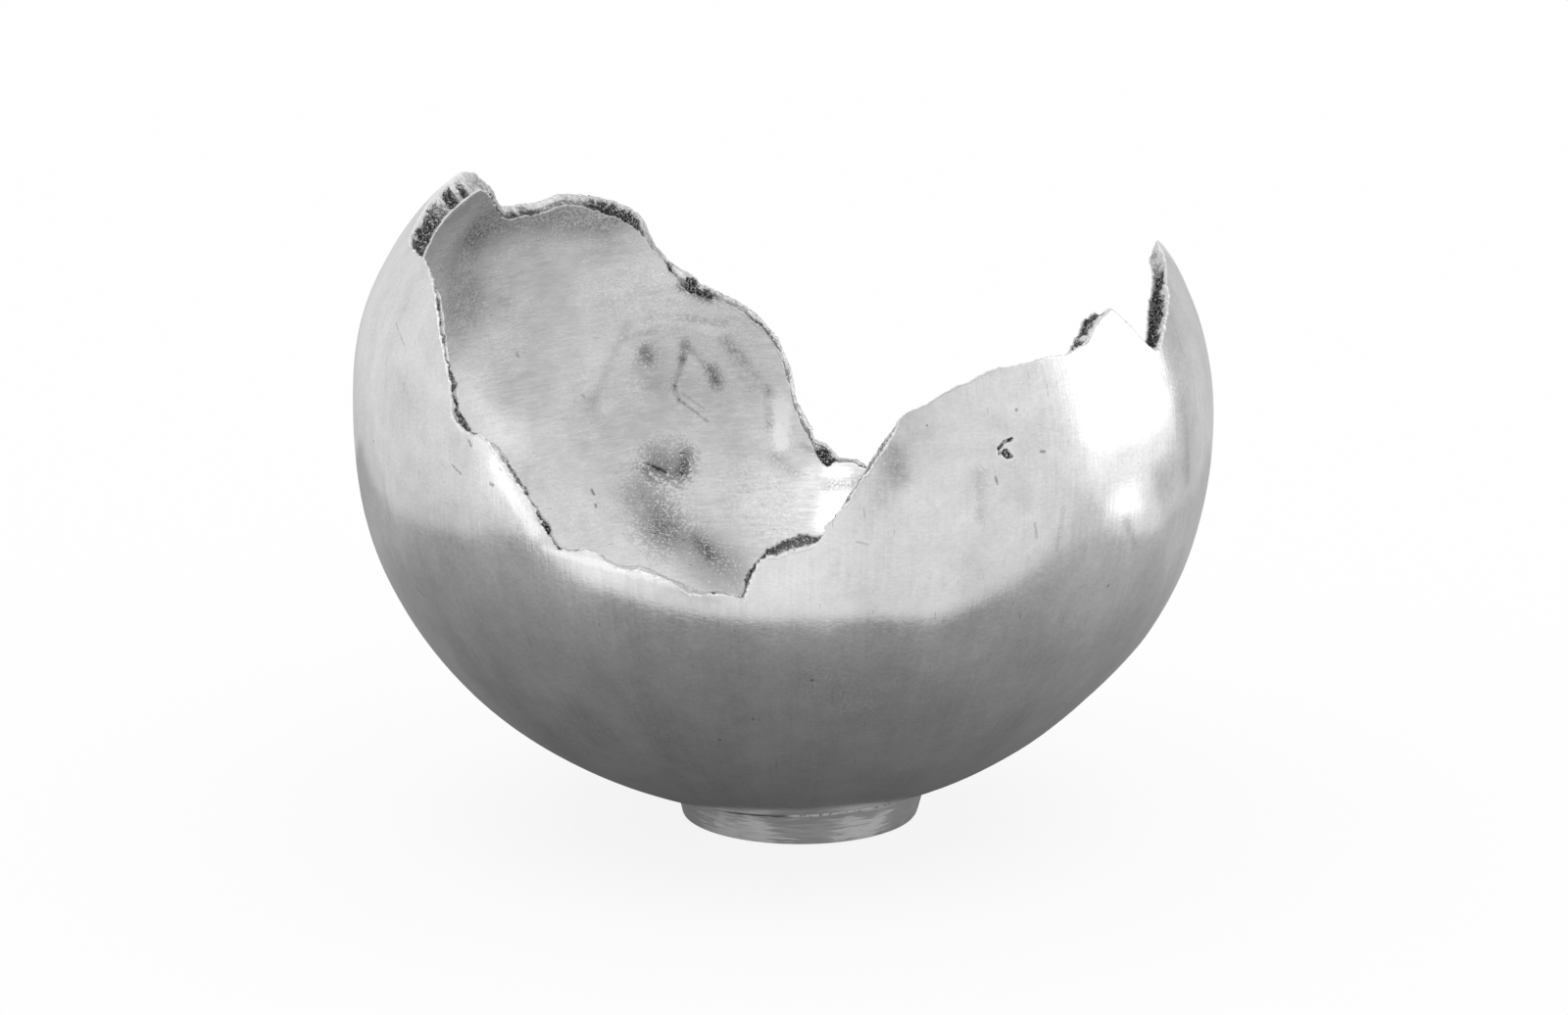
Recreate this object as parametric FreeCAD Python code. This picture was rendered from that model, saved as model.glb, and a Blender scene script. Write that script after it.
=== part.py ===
import FreeCAD, Part
import math
import os

# Free-standing decorative bowl in the shape of a broken eggshell: a thick
# cast shell with a torn rim, bonded on a small tapered ring foot and leaning
# on it by a couple of degrees.
#
# Millimetres, +Z up. The origin is under the middle of the shell's widest
# section, in the plane that the bowl stands on. -Y is the front, where the rim dips lowest.

# ---- driving dimensions -------------------------------------------------
OUTER_R = 280.0          # outer radius of the shell at its widest
WALL = 12.5              # wall, measured square to the surface at the widest
EQUATOR_Z = 264.7        # height of the middle of the widest section above the table
LOWER_HALF = 253.4       # equator down to the outside of the pole
LOWER_EXP = 2.0          # a true ellipse
UPPER_HALF = 206.0       # equator up to where the shell would close
UPPER_EXP = 2.47         # fuller than an ellipse
LEAN_DEG = 1.9           # the shell sits on its foot with its -X side this much higher
SHELL_TOP_Z = 440.0      # the uncut shell runs to here, above the highest tip

FOOT_X = 10.3            # the foot sits this far off the middle of the shell
FOOT_BASE_Z = 1.0        # the pads hold the foot this far off the table
FOOT_BASE_R = 78.3       # outside radius at the underside
FOOT_TAPER_DEG = 15.0    # the side leans out going up
FOOT_BORE_R = 60.0       # open middle of the ring
FOOT_TOP_Z = 40.0        # cut back to the shell's underside
FOOT_EDGE_R = 1.5        # rounding of the lower outside edge

BEAD_W = 2.6             # bonding bead in the corner of shell and foot

PAD_COUNT = 4
PAD_R = 7.0
PAD_T = 2.0
PAD_RECESS = 1.0
PAD_CLEAR = 0.25
PAD_PCR = 68.5           # pads sit on this radius from the foot's centre

# Torn rim. Azimuth in degrees from the front, growing towards +X, then the
# elevation, seen from the middle of the equator, of the tear's outside edge
# and of its inside edge.
RIM = [
    (-180.0, -1.8, -3.7), (-179.6, -0.8, -2.0), (-177.1, 2.6, 1.9), (-175.6, 4.3, 3.2), (-170.6, 7.2, 6.7),
    (-168.8, 8.1, 7.7), (-167.3, 9.3, 7.3), (-164.0, 11.6, 9.1), (-160.7, 14.5, 14.0), (-159.0, 17.5, 15.4),
    (-157.3, 20.2, 17.7), (-154.8, 22.1, 20.0), (-150.0, 24.1, 22.5), (-145.9, 25.0, 24.2),
    (-141.7, 25.6, 25.4), (-137.2, 24.8, 24.4), (-131.3, 24.6, 24.5), (-129.0, 25.4, 24.1),
    (-126.9, 26.9, 24.9), (-124.4, 29.0, 26.6), (-120.5, 31.0, 29.2), (-116.6, 32.6, 31.2),
    (-112.7, 34.3, 33.0), (-106.9, 35.5, 34.6), (-101.0, 36.4, 35.6), (-96.9, 36.2, 35.0),
    (-92.8, 34.6, 33.5), (-88.6, 32.8, 32.1), (-84.5, 31.8, 30.8), (-80.9, 29.0, 29.4), (-77.3, 27.9, 27.6),
    (-72.2, 27.4, 26.5), (-67.0, 27.5, 25.4), (-63.7, 26.6, 24.4), (-60.3, 25.2, 23.0), (-56.8, 23.0, 20.4),
    (-53.5, 19.9, 16.9), (-50.1, 16.2, 13.7), (-48.1, 13.5, 10.4), (-47.5, 11.8, 9.8), (-47.0, 9.1, 9.4),
    (-43.2, 7.5, 7.2), (-41.7, 7.9, 6.8), (-40.1, 7.3, 6.1), (-36.9, 4.3, 3.3), (-33.6, 1.2, -0.8),
    (-32.0, -1.6, -2.4), (-30.5, -3.7, -5.7), (-29.2, -5.3, -5.7), (-25.3, -4.5, -5.8), (-22.2, -6.0, -7.2),
    (-18.5, -6.8, -6.8), (-14.6, -7.7, -8.4), (-11.9, -9.4, -9.4), (-8.4, -9.2, -9.8), (-5.5, -9.8, -10.4),
    (-5.0, -10.2, -8.1), (-4.7, -9.5, -6.8), (-4.1, -7.3, -5.7), (-3.1, -5.1, -4.5), (-2.1, -4.3, -3.5),
    (1.8, -3.4, -1.8), (4.2, -2.5, -2.1), (5.0, -1.1, -2.1), (5.5, 0.2, -1.3), (7.6, 2.1, 1.9),
    (12.0, 8.5, 8.8), (14.5, 12.5, 11.5), (20.4, 15.2, 14.3), (24.5, 16.6, 15.8), (28.7, 17.7, 16.8),
    (33.1, 17.9, 17.1), (37.6, 18.3, 17.5), (42.0, 18.5, 17.7), (44.5, 19.0, 19.4), (48.3, 21.4, 22.1),
    (51.7, 22.5, 22.9), (54.0, 20.7, 22.3), (57.0, 17.4, 18.0), (59.0, 15.9, 16.1), (60.0, 15.9, 16.0),
    (64.7, 18.5, 18.8), (69.4, 20.6, 21.9), (72.2, 22.7, 22.5), (78.2, 24.7, 23.9), (84.2, 26.4, 25.0),
    (86.3, 27.1, 26.5), (88.2, 26.4, 25.9), (91.0, 23.6, 22.4), (95.6, 17.8, 16.5), (100.1, 12.2, 10.9),
    (104.7, 6.9, 5.7), (108.7, 4.1, 3.0), (112.7, 1.2, 0.1), (118.0, -1.2, -2.3), (122.0, -4.0, -5.0),
    (128.0, -5.8, -6.9), (133.0, -8.7, -9.7), (139.0, -10.3, -11.3), (144.0, -12.8, -13.7),
    (150.0, -13.6, -14.6), (154.7, -15.9, -16.9), (159.8, -17.0, -17.9), (165.0, -18.6, -19.4),
    (169.6, -17.4, -18.3), (171.2, -17.3, -18.4), (172.8, -15.9, -19.2), (173.8, -15.2, -18.6),
    (175.4, -14.5, -16.2), (175.8, -13.1, -15.3), (178.1, -9.0, -10.7), (179.0, -4.2, -7.3),
]


def super_r(z, a, b, n):
    """Radius of a superellipse of half-width a and half-height b at height z."""
    u = min(1.0, abs(z) / b)
    return a * (1.0 - u ** n) ** (1.0 / n)


def profile(a, lower, upper, top_z):
    """Half section from the pole up to top_z, as points (r, z)."""
    pts = []
    for k in range(0, 25):
        t = math.radians(90.0 * k / 24.0)
        # even steps in angle keep the points apart near the pole
        r = a * math.sin(t) ** (2.0 / LOWER_EXP)
        z = -lower * max(0.0, math.cos(t)) ** (2.0 / LOWER_EXP)
        pts.append((r, EQUATOR_Z + z))
    steps = 12
    for k in range(1, steps + 1):
        z = (top_z - EQUATOR_Z) * k / steps
        pts.append((super_r(z, a, upper, UPPER_EXP), EQUATOR_Z + z))
    return pts


def revolve(pts, top_z):
    """Solid of revolution about Z below a smooth half section."""
    vecs = [FreeCAD.Vector(r, 0, z) for r, z in pts]
    curve = Part.BSplineCurve()
    curve.interpolate(vecs, InitialTangent=FreeCAD.Vector(1, 0, 0),
                      FinalTangent=(vecs[-1] - vecs[-2]).normalize())
    edge = curve.toShape()
    top = FreeCAD.Vector(0, 0, top_z)
    lid = Part.makeLine(vecs[-1], top)
    axis = Part.makeLine(top, vecs[0])
    face = Part.Face(Part.Wire([edge, lid, axis]))
    solid = face.revolve(FreeCAD.Vector(0, 0, 0), FreeCAD.Vector(0, 0, 1), 360)
    if solid.ShapeType != "Solid":
        solid = solid.Solids[0]
    if solid.Volume < 0:
        solid.reverse()
    return solid


def body(offset, top_z):
    """The shell's outer form, moved in by offset (out when negative)."""
    solid = revolve(profile(OUTER_R - offset, LOWER_HALF - offset,
                            UPPER_HALF - offset, top_z), top_z)
    solid.rotate(FreeCAD.Vector(0, 0, EQUATOR_Z), FreeCAD.Vector(0, 1, 0), LEAN_DEG)
    return solid


def surface_distance(d, offset):
    """Distance from the middle of the equator to the surface along direction d."""
    c, s = math.cos(math.radians(LEAN_DEG)), math.sin(math.radians(LEAN_DEG))
    r = math.hypot(d.x * c - d.z * s, d.y)
    z = d.x * s + d.z * c
    half = (UPPER_HALF if z >= 0 else LOWER_HALF) - offset
    n = UPPER_EXP if z >= 0 else LOWER_EXP
    a = OUTER_R - offset
    return ((r / a) ** n + (abs(z) / half) ** n) ** (-1.0 / n)


def direction(az, lat):
    az, lat = math.radians(az), math.radians(lat)
    return FreeCAD.Vector(math.cos(lat) * math.sin(az),
                          -math.cos(lat) * math.cos(az), math.sin(lat))


def tear():
    """Everything above the torn rim, as one faceted solid to cut away."""
    centre = FreeCAD.Vector(0, 0, EQUATOR_Z)
    inner, outer, far, roof = [], [], [], []
    for az, lat_out, lat_in in RIM:
        di, do = direction(az, lat_in), direction(az, lat_out)
        inner.append(centre + di * surface_distance(di, WALL + 0.6))
        outer.append(centre + do * surface_distance(do, -0.6))
        q = centre + do * 420.0
        far.append(q)
        roof.append(FreeCAD.Vector(q.x, q.y, 560.0))
    cap = FreeCAD.Vector(0, 0, 560.0)
    faces = []

    def tri(a, b, c):
        faces.append(Part.Face(Part.makePolygon([a, b, c, a])))

    n = len(RIM)
    for i in range(n):
        j = (i + 1) % n
        tri(centre, inner[j], inner[i])
        for lo, hi in ((inner, outer), (outer, far), (far, roof)):
            tri(lo[i], lo[j], hi[j])
            tri(lo[i], hi[j], hi[i])
        tri(roof[i], roof[j], cap)
    shell = Part.makeShell(faces)
    shell.sewShape()
    solid = Part.Solid(shell)
    if solid.Volume < 0:
        solid.reverse()
    return solid


def cone_solid(base_r, z0, z1):
    top_r = base_r + (z1 - z0) * math.tan(math.radians(FOOT_TAPER_DEG))
    return Part.makeCone(base_r, top_r, z1 - z0, FreeCAD.Vector(FOOT_X, 0, z0))


def largest(shape):
    return max(shape.Solids, key=lambda s: s.Volume)


os.makedirs("parts", exist_ok=True)

# ---- bowl shell ----------------------------------------------------------
outer_body = body(0.0, SHELL_TOP_Z)
inner_body = body(WALL, SHELL_TOP_Z + 4.0)
shell_blank = outer_body.cut(inner_body)
bowl_shell = largest(shell_blank.cut(tear()))

# ---- foot ring -----------------------------------------------------------
foot = cone_solid(FOOT_BASE_R, FOOT_BASE_Z, FOOT_TOP_Z)
low_edges = [e for e in foot.Edges
             if e.BoundBox.ZMax < FOOT_BASE_Z + 0.01 and e.Length > 100]
foot = foot.makeFillet(FOOT_EDGE_R, low_edges)
foot = foot.cut(Part.makeCylinder(FOOT_BORE_R, 80.0, FreeCAD.Vector(FOOT_X, 0, -10)))
foot = foot.cut(outer_body)
pads = []
for k in range(PAD_COUNT):
    ang = math.radians(45.0 + 360.0 * k / PAD_COUNT)
    px = FOOT_X + PAD_PCR * math.cos(ang)
    py = PAD_PCR * math.sin(ang)
    foot = foot.cut(Part.makeCylinder(PAD_R + PAD_CLEAR, PAD_RECESS + 5.0,
                                      FreeCAD.Vector(px, py, FOOT_BASE_Z - 5.0)))
    pads.append(Part.makeCylinder(PAD_R, PAD_T, FreeCAD.Vector(px, py, 0)))
foot_ring = largest(foot)

# ---- bonding bead in the corner between shell and foot ---------------------
bead = body(-BEAD_W, SHELL_TOP_Z).common(
    cone_solid(FOOT_BASE_R + BEAD_W, FOOT_BASE_Z, FOOT_TOP_Z))
bead = bead.cut(outer_body).cut(cone_solid(FOOT_BASE_R, FOOT_BASE_Z, FOOT_TOP_Z))
bond_bead = largest(bead)

felt_pads = Part.makeCompound(pads)

for name, shape in (("bowl_shell", bowl_shell), ("foot_ring", foot_ring),
                    ("bond_bead", bond_bead), ("felt_pads", felt_pads)):
    shape.exportStep("parts/%s.step" % name)
    bb = shape.BoundBox
    print("%-11s valid=%s solids=%d volume=%.1f cm3 box x %.1f..%.1f y %.1f..%.1f z %.1f..%.1f"
          % (name, shape.isValid(), len(shape.Solids), shape.Volume / 1000.0,
             bb.XMin, bb.XMax, bb.YMin, bb.YMax, bb.ZMin, bb.ZMax))
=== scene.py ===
"""Looks of a free-standing bowl in the shape of a broken eggshell: a thick
silver-leafed shell with a torn, pitted rim on a small tapered ring foot.
Metres in Blender; the geometry below is worked out in millimetres."""

import math

import bmesh
import bpy
import numpy as np
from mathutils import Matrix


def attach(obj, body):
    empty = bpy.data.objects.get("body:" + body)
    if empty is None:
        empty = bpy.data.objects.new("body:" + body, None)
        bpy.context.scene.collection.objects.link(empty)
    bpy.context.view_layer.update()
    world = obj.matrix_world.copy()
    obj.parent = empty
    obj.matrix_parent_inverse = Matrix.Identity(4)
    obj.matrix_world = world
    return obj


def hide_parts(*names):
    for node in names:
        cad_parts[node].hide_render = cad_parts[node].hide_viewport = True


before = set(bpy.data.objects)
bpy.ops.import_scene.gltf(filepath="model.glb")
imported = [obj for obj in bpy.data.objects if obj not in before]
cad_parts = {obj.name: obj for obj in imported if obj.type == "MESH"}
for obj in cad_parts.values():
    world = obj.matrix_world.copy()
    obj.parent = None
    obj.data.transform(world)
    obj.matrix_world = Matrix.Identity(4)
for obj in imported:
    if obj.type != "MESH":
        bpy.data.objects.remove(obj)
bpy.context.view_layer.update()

# ---- the shell's form, as in the CAD -----------------------------------------
ZC = 264.7                    # middle of the widest section
A, UP, LOW, N_UP, N_LOW = 280.0, 206.0, 253.4, 2.47, 2.0
LEAN = math.radians(1.9)
WALL = 12.5
FOOT_X, FOOT_Z, FOOT_R, FOOT_TAPER, FOOT_BORE = 10.3, 1.0, 78.3, math.radians(15.0), 60.0

# Torn rim: (azimuth from the front towards +X, elevation from the middle of
# the widest section), in degrees. Outer edge of the tear, then inner edge.
OUT = np.array([
    (-179.2, 0.2), (-177.7, 2.0), (-175.7, 4.2), (-172.8, 6.2), (-170.6, 7.2), (-168.3, 8.4),
    (-166.2, 10.2), (-164.4, 11.3), (-163.6, 11.9), (-162.0, 13.2), (-160.4, 14.9), (-159.4, 16.7),
    (-158.3, 18.9), (-157.3, 20.3), (-154.8, 22.1), (-152.5, 23.2), (-150.0, 24.1), (-147.6, 24.7),
    (-145.1, 25.2), (-142.6, 25.6), (-140.6, 25.7), (-139.2, 25.1), (-136.9, 24.7), (-131.3, 24.6),
    (-129.5, 25.1), (-127.8, 26.2), (-124.4, 29.0), (-121.1, 30.7), (-117.4, 32.3), (-112.7, 34.3),
    (-107.8, 35.3), (-102.8, 36.2), (-99.8, 36.6), (-96.9, 36.2), (-94.0, 35.2), (-91.0, 33.8),
    (-88.3, 32.7), (-84.5, 31.8), (-82.3, 30.3), (-80.9, 29.0), (-77.3, 27.9), (-72.0, 27.4),
    (-67.0, 27.5), (-63.0, 26.4), (-60.3, 25.2), (-56.8, 23.0), (-54.1, 20.6), (-52.4, 18.8),
    (-50.1, 16.2), (-48.1, 13.5), (-47.5, 11.7), (-47.0, 9.2), (-45.0, 8.0), (-43.1, 7.5), (-41.7, 7.9),
    (-40.1, 7.3), (-39.0, 6.1), (-36.9, 4.3), (-35.2, 2.6), (-33.5, 1.1), (-32.6, -0.3), (-32.3, -1.3),
    (-31.1, -2.8), (-30.1, -4.3), (-29.3, -5.3), (-27.6, -5.1), (-26.0, -4.8), (-25.3, -4.5),
    (-23.6, -4.9), (-22.9, -5.6), (-21.0, -6.6), (-19.8, -6.9), (-17.8, -6.8), (-16.4, -7.1),
    (-14.5, -7.7), (-13.1, -8.7), (-11.9, -9.4), (-10.3, -9.4), (-8.4, -9.2), (-7.0, -9.3), (-5.6, -9.7),
    (-5.0, -10.2), (-4.5, -9.0), (-4.1, -7.4), (-3.1, -5.1), (-2.1, -4.3), (-0.9, -4.4), (1.0, -3.6),
    (3.1, -3.1), (4.3, -2.5), (4.9, -1.2), (5.4, 0.2), (6.6, 1.3), (7.6, 2.2), (8.3, 3.3), (9.3, 5.0),
    (10.5, 6.4), (11.9, 8.4), (12.8, 9.3), (13.7, 10.9), (14.5, 12.6), (15.5, 13.3), (18.2, 14.1),
    (20.3, 15.2), (23.6, 16.3), (26.3, 17.2), (28.7, 17.7), (31.8, 17.8), (35.1, 18.2), (37.5, 18.3),
    (39.9, 18.2), (41.8, 18.5), (44.4, 18.9), (46.4, 20.3), (49.0, 21.8), (51.9, 22.6), (52.4, 22.4),
    (54.2, 20.5), (56.0, 18.4), (57.0, 17.4), (58.9, 15.9), (60.0, 15.9), (62.9, 17.3), (64.4, 18.4),
    (68.2, 20.1), (70.2, 21.0), (72.1, 22.7), (78.8, 24.9), (83.0, 25.7), (85.0, 26.9), (86.8, 27.2),
    (88.6, 26.2), (91.0, 23.6), (93.5, 20.8), (96.0, 17.2), (99.0, 13.6), (102.0, 9.8), (105.0, 6.6),
    (109.0, 3.9), (113.0, 1.0), (118.0, -1.2), (122.0, -4.0), (128.0, -5.8), (133.0, -8.7), (139.0, -10.3),
    (144.0, -12.8), (150.0, -13.6), (155.0, -16.0), (161.0, -17.2), (165.0, -18.6), (166.7, -18.4),
    (167.1, -18.1), (168.9, -17.5), (171.3, -17.3), (172.4, -16.3), (174.1, -14.9), (175.4, -14.5),
    (175.8, -13.1), (177.0, -10.9), (178.1, -9.0), (178.6, -6.7), (179.0, -4.1), (179.9, -2.1),
])
INN = np.array([
    (-179.6, -2.1), (-178.5, -0.0), (-177.1, 1.9), (-175.7, 3.1), (-174.1, 4.5), (-172.5, 5.5),
    (-170.6, 6.7), (-168.8, 7.7), (-167.4, 7.3), (-165.5, 8.1), (-164.0, 9.1), (-163.0, 10.8),
    (-161.9, 11.9), (-160.8, 14.0), (-159.0, 15.4), (-157.7, 17.2), (-156.4, 18.8), (-154.4, 20.3),
    (-152.9, 21.1), (-150.4, 22.3), (-147.5, 23.5), (-143.9, 24.9), (-141.7, 25.4), (-139.6, 25.4),
    (-137.2, 24.5), (-134.6, 24.3), (-130.5, 24.5), (-129.0, 24.1), (-126.9, 24.9), (-123.8, 27.0),
    (-120.5, 29.2), (-117.0, 31.0), (-113.0, 32.9), (-108.6, 34.2), (-104.5, 35.2), (-101.0, 35.6),
    (-98.0, 35.4), (-95.0, 34.4), (-92.0, 33.2), (-89.0, 32.2), (-85.4, 31.2), (-80.4, 29.2),
    (-76.2, 27.0), (-69.9, 26.2), (-64.8, 24.8), (-60.8, 23.3), (-57.4, 21.0), (-54.9, 18.6),
    (-52.6, 16.0), (-49.6, 13.3), (-48.0, 10.1), (-45.3, 8.0), (-42.8, 7.0), (-40.8, 6.6), (-38.8, 5.1),
    (-37.0, 3.4), (-35.2, 1.4), (-33.5, -0.9), (-31.9, -2.4), (-31.5, -3.8), (-30.5, -5.7), (-29.0, -5.7),
    (-27.6, -5.7), (-24.9, -5.8), (-22.2, -7.2), (-20.4, -7.1), (-18.6, -6.8), (-16.8, -7.4),
    (-15.3, -8.1), (-13.4, -8.9), (-11.9, -9.4), (-10.2, -9.9), (-8.7, -9.7), (-7.0, -10.1), (-5.5, -10.4),
    (-4.8, -7.0), (-3.9, -5.4), (-2.2, -3.6), (-0.2, -2.5), (1.9, -1.8), (2.7, -1.7), (3.8, -2.1),
    (5.0, -2.1), (7.3, 1.5), (8.6, 3.7), (9.7, 5.3), (10.6, 6.7), (12.1, 8.9), (13.1, 10.0), (14.3, 11.4),
    (17.0, 12.9), (19.5, 13.9), (22.0, 14.9), (24.5, 15.8), (27.0, 16.5), (29.5, 16.9), (32.0, 17.0),
    (34.5, 17.3), (37.0, 17.5), (39.5, 17.4), (42.0, 17.7), (43.7, 18.9), (46.5, 20.6), (48.3, 22.1),
    (51.7, 22.9), (54.0, 22.3), (55.2, 20.4), (57.0, 18.0), (59.0, 16.1), (60.6, 16.0), (63.0, 17.5),
    (65.8, 19.7), (69.4, 21.9), (72.2, 22.5), (76.3, 23.6), (80.5, 24.2), (84.2, 25.0), (86.3, 26.5),
    (88.2, 25.9), (90.7, 22.7), (93.2, 19.9), (95.7, 16.3), (98.7, 12.7), (101.7, 8.9), (104.7, 5.7),
    (108.7, 3.0), (112.7, 0.1), (117.7, -2.1), (121.7, -4.9), (127.7, -6.7), (132.7, -9.6), (138.7, -11.2),
    (143.7, -13.7), (149.7, -14.5), (154.7, -16.9), (160.7, -18.1), (164.7, -19.5), (166.9, -19.0),
    (168.3, -18.3), (169.7, -18.3), (171.5, -18.4), (172.4, -18.9), (172.8, -19.2), (173.7, -18.7),
    (175.3, -16.4), (176.3, -14.1), (177.5, -12.3), (178.5, -9.7), (179.0, -7.4), (179.9, -4.2),
])
# how deep and grainy the torn face is, by azimuth: 0 smooth, 1 deeply pitted
PIT = np.array([
    (-180, .5), (-178, .9), (-176, .8), (-173, .3), (-170.5, .3), (-169.5, .95), (-165.5, 1), (-164.6, .3),
    (-163.6, .3), (-163.1, 1), (-161.9, 1), (-161.4, .25), (-158, .3), (-157, 1), (-148, 1), (-146.5, .7), (-144, .3),
    (-137, .3), (-135, .7), (-131, 1), (-129, .5), (-127.5, .6), (-126.5, 1), (-123, 1), (-120, .7), (-117, .5),
    (-112, .5), (-106, .3), (-98, .15), (-97.2, .95), (-96.4, .95), (-95.8, .3), (-95, .4), (-94.5, 1), (-92.2, 1),
    (-91.4, .4), (-90, .6), (-86, 1), (-81, 1),
    (-75, .85), (-66, .8), (-62, .9), (-57, .9), (-53, .8), (-50, .9), (-47, .9), (-45, .8), (-41, .4), (-37, .6),
    (-33.6, .95), (-31, 1), (-29, 1), (-27.5, .3), (-25, .15), (-11, .12), (-9.8, .2), (-9.2, .9), (-8.6, .2),
    (-8, .15), (-6, .3), (-5, .95), (-3, .95), (-1, .7), (6, .7), (12, .5), (15, .3), (40, .3), (43, .7),
    (46, .95), (51, .95), (54, .6), (57, .5), (60, 1), (77, 1), (79, .6), (82, .3), (88, .2),
    (93, .6), (165, .5), (166.5, 1), (168.5, 1), (169.5, .25), (171, .3), (172, 1), (175, 1), (176.5, .5), (180, .5)], float)
# small departures of the real outline from the pure form, left and right, mm
RES_LAT = [-90, -60, -51, -44, -38, -33, -28, -23, -18, -14, -10, -6, -2, 2, 6.4, 10.4, 14.5, 18.6, 23, 28, 33, 40, 90]
RES_L = [0, 0, .1, .7, .8, .8, .7, .6, .9, .9, .7, .2, 0, .5, 1.1, 1.8, 2.1, 1.8, 1.5, 2.1, 3.2, 3.2, 3.2]
RES_R = [0, -.5, -1.7, -2.6, -3.0, -1.8, -.4, -.25, -.2, -.6, -.8, -.6, -.4, -.25, -.75, -1.5, -1.8, -1.9, -.8, -.5, -.5, -.5, -.5]

# Patina marks on the skins, mixed with painted light: the broad faint strokes are painted shade and those of negative
# strength are painted highlights. Ends of a short stroke, radius, strength, graininess (mm).
MARKS_AND_PAINTED_LIGHT_IN = [
    ((-99, 249, 262), (-96, 249, 258), 8.5, 0.62, 1),
    ((-105, 246, 249), (-89, 250, 238), 10, 0.16, 1.4),
    ((-111, 243, 282), (-134, 228, 230), 5.5, 0.14, 0.6),
    ((-136, 227, 232), (-135, 226, 224), 9, 0.2, 1),
    ((-71, 258, 267), (-72, 257, 255), 5.0, 0.42, 1),
    ((-72, 257, 255), (-78, 254, 236), 3.6, 0.34, 1),
    ((-78.3, 253.8, 236.2), (-74.9, 253.1, 225.6), 2.4, 0.34, 1),
    ((-74.9, 253.2, 226.3), (-54.7, 254.7, 210.2), 1.3, 0.36, 0.3),
    ((-72.1, 254.7, 230.2), (-57.5, 256.3, 219.2), 1.2, 0.24, 0.3),
    ((-68, 259, 264), (-57, 261, 250), 3.5, 0.26, 1),
    ((-52, 262, 246), (-48, 261, 237), 7.0, 0.66, 1),
    ((-89, 236, 186), (-76, 240, 182), 18, 0.5, 1.2),
    ((-69, 245, 189), (-71, 239, 178), 7, 0.34, 1),
    ((-96, 231, 180), (-74, 236, 174), 8, 0.22, 1),
    ((-96.3, 232.7, 183.6), (-83.8, 234.8, 177.4), 1.2, 0.4, 0.3),
    ((-101, 221, 164), (-90, 213, 144), 26, 0.33, 1.2),
    ((-83, 213, 140), (-45, 208, 119), 27, 0.28, 1.2),
    ((-104, 220, 164), (-92, 222, 159), 12, 0.12, 1.4),
    ((-61, 215, 132), (-53, 210, 123), 10, 0.22, 1),
    ((-217, 132, 352), (-219, 150, 309), 40, 0.3, 0.2),
    ((-206, 126, 376), (-123, 213, 365), 34, 0.4, 0.2),
    ((-42, 264, 268), (-12, 264, 230), 7, 0.2, 0.3),
    ((-12, 264, 230), (-10, 259, 205), 5, 0.18, 0.3),
    ((-111.2, 243.3, 273.1), (-92.0, 251.1, 276.6), 3, 0.14, 0.3),
    ((-71, 255, 309), (-54, 260, 300), 6.5, 0.8, 1),
    ((-80, 249, 325), (-77, 251, 320), 3.2, 0.8, 0.6),
    ((-56, 260, 303), (-45, 262, 299), 3.5, 0.7, 1),
    ((-1, 263, 219), (-2, 256, 195), 9, -0.42, 0.6),
    ((-92, 251, 287), (-44, 264, 273), 5, -0.1, 0.6),
    ((-34, 265, 254), (-10, 263, 223), 5, -0.12, 0.6),
    ((-223, 148, 258), (-191, 180, 219), 22, -0.16, 0.6),
    ((-164, 200, 339), (-137, 216, 345), 10, -0.06, 0.2),
    ((-111, 225, 181), (-101, 215, 155), 4, -0.08, 0.6),
    ((-7, 252, 184), (8, 248, 174), 8, 0.16, 0.6),
    ((-215, 152, 322), (-191, 186, 302), 16, 0.08, 0.3),
    ((-135.7, 205.8, 171.3), (-134.3, 205.2, 168.6), 1.3, 0.5, 0.2),
    ((-132.8, 201.8, 161.6), (-132.8, 201.0, 160.3), 1.1, 0.5, 0.2),
    ((-186.6, 191.9, 272.9), (-185.4, 193.1, 269.9), 1.4, 0.4, 0.4),
    ((-204.1, 172.3, 252.6), (-201.5, 175.5, 255.4), 0.8, 0.35, 0.2),
    ((-142.7, 224.0, 236.1), (-140.7, 224.9, 233.7), 1.1, 0.3, 0.2),
    ((14, 255, 192), (32, 250, 183), 4, 0.3, 1),
    ((32, 242, 166), (56, 239, 169), 10, 0.36, 0.6),
    ((-18, 242, 163), (-22, 207, 114), 70, 0.15, 0.2),
    ((-111, 241, 305), (-45, 263, 283), 60, 0.11, 0.2),
    ((-204, 149, 185), (-111, 213, 159), 60, 0.06, 0.2),
    ((-70, 209, 128), (-38, 194, 103), 40, 0.14, 0.2),
    ((-93, 250, 288), (-42, 264, 280), 5, 0.1, 0.3),
    ((-36, 265, 257), (-21, 264, 230), 9, 0.1, 0.3),
]
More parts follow.
